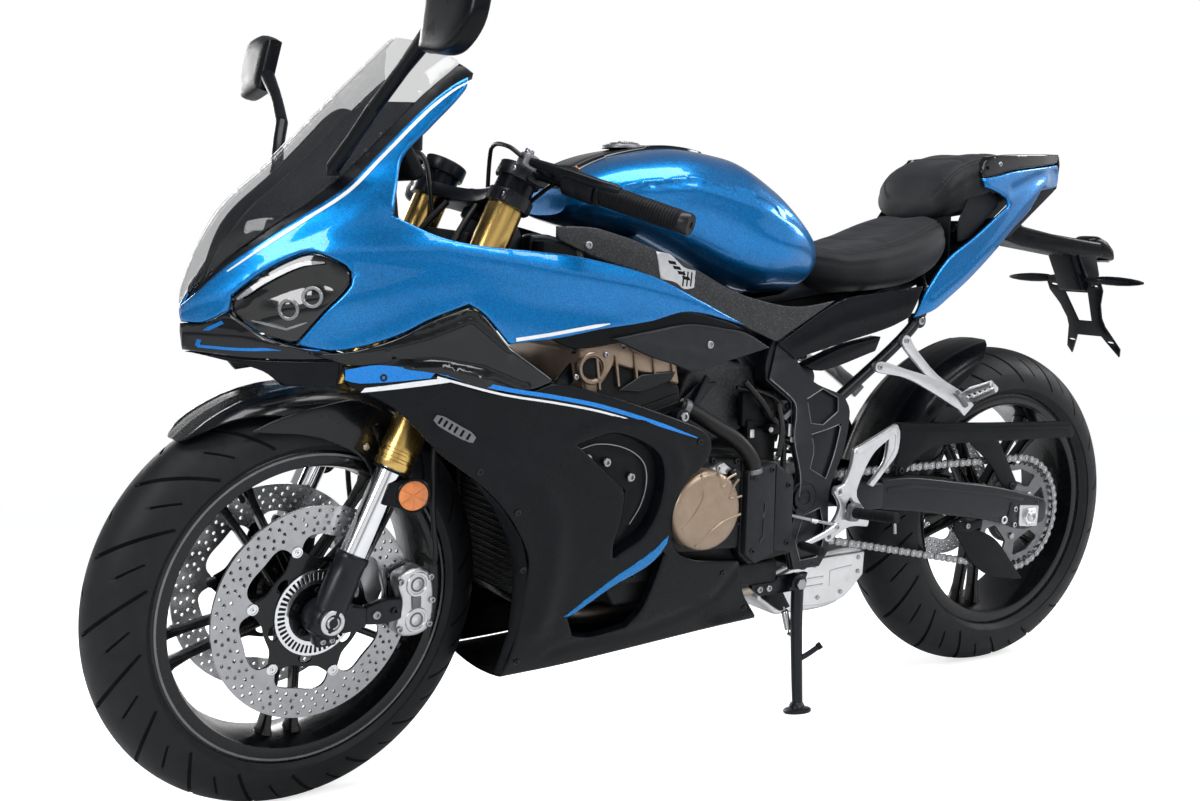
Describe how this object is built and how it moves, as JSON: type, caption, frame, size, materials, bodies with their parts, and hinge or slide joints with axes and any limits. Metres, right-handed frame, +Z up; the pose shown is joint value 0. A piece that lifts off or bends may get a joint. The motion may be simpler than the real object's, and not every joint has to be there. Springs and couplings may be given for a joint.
{
  "type": "sport motorcycle",
  "caption": "Fully faired sport motorcycle leaning on its side stand, with a turning front end, free wheels, a folding stand and an empty plate holder.",
  "frame": {"origin": "floor level, at the middle of the overall length and width of the motorcycle as it stands parked", "axes": "+X forward, +Y to the motorcycle's left, +Z up; it is stored leaning 11 degrees to its left on its side stand"},
  "size_m": [2.0504, 0.8899, 1.1984],
  "materials": {
    "frame_black": "satin",
    "engine_dark": "matte",
    "bronze": "satin",
    "matte_black": "matte",
    "steel": "brushed",
    "blue_paint": "gloss",
    "seat_vinyl": "matte",
    "red_lens": "gloss",
    "screen_clear": "gloss",
    "lamp_lens": "gloss",
    "gloss_black": "gloss",
    "alloy": "satin",
    "chain_steel": "oiled",
    "gold": "anodised",
    "tyre": "matte",
    "rim_black": "gloss"
  },
  "bodies": {
    "chassis": {"main_frame": "frame_black", "rear_subframe": "frame_black", "engine_block": "engine_dark", "engine_covers": "bronze", "sprocket_cover": "matte_black", "radiator": "engine_dark", "exhaust_header": "steel", "muffler": "steel", "fuel_tank": "blue_paint", "tank_cover": "matte_black", "rider_seat": "seat_vinyl", "pillion_seat": "seat_vinyl", "tail_fairing": "blue_paint", "tail_light": "red_lens", "side_covers": "matte_black", "upper_fairing": "blue_paint", "windscreen": "screen_clear", "headlights": "lamp_lens", "fairing_beak": "gloss_black", "air_ducts": "gloss_black", "mirrors": "matte_black", "cockpit_panel": "matte_black", "instrument_panel": "matte_black", "side_fairings": "gloss_black", "belly_pan": "gloss_black", "plate_bracket": "matte_black", "rider_footrests": "alloy", "pillion_footrests": "alloy", "gear_lever": "alloy", "brake_pedal": "alloy", "swingarm": "frame_black", "rear_axle": "steel", "shock_absorber": "engine_dark", "chain_guard": "matte_black", "rear_hugger": "matte_black", "drive_chain": "chain_steel", "rear_caliper": "alloy", "stand_bracket": "frame_black"},
    "steering": {"triple_clamps": "frame_black", "fork_tubes": "gold", "fork_legs": "alloy", "front_axle": "steel", "front_fender": "gloss_black", "handlebars": "matte_black", "hand_levers": "matte_black", "front_calipers": "alloy"},
    "front_wheel": {"front_tyre": "tyre", "front_rim": "rim_black", "front_discs": "steel"},
    "rear_wheel": {"rear_tyre": "tyre", "rear_rim": "rim_black", "rear_disc": "steel", "rear_sprocket": "chain_steel"},
    "side_stand": {"side_stand": "frame_black"}
  },
  "joints": [
    {"name": "steering_turn", "type": "hinge", "parent": "chassis", "child": "steering", "pos_m": [0.8265, -0.2109, -0.00133], "axis": [-0.4288, 0.1722, 0.8868], "range_deg": [-38.8, 21.2]},
    {"name": "front_wheel_spin", "type": "hinge", "parent": "steering", "child": "front_wheel", "pos_m": [0.72566, -0.14748, 0.29399], "axis": [-0.1386, 0.9575, -0.2529], "continuous": true},
    {"name": "rear_wheel_spin", "type": "hinge", "parent": "chassis", "child": "rear_wheel", "pos_m": [-0.6859, -0.15099, 0.30986], "axis": [-0.0004, 0.9816, -0.1908], "continuous": true},
    {"name": "side_stand_fold", "type": "hinge", "parent": "chassis", "child": "side_stand", "pos_m": [-0.13007, -0.05009, 0.21989], "axis": [-0.0004, 0.9816, -0.1908], "range_deg": [0, 95]}
  ]
}
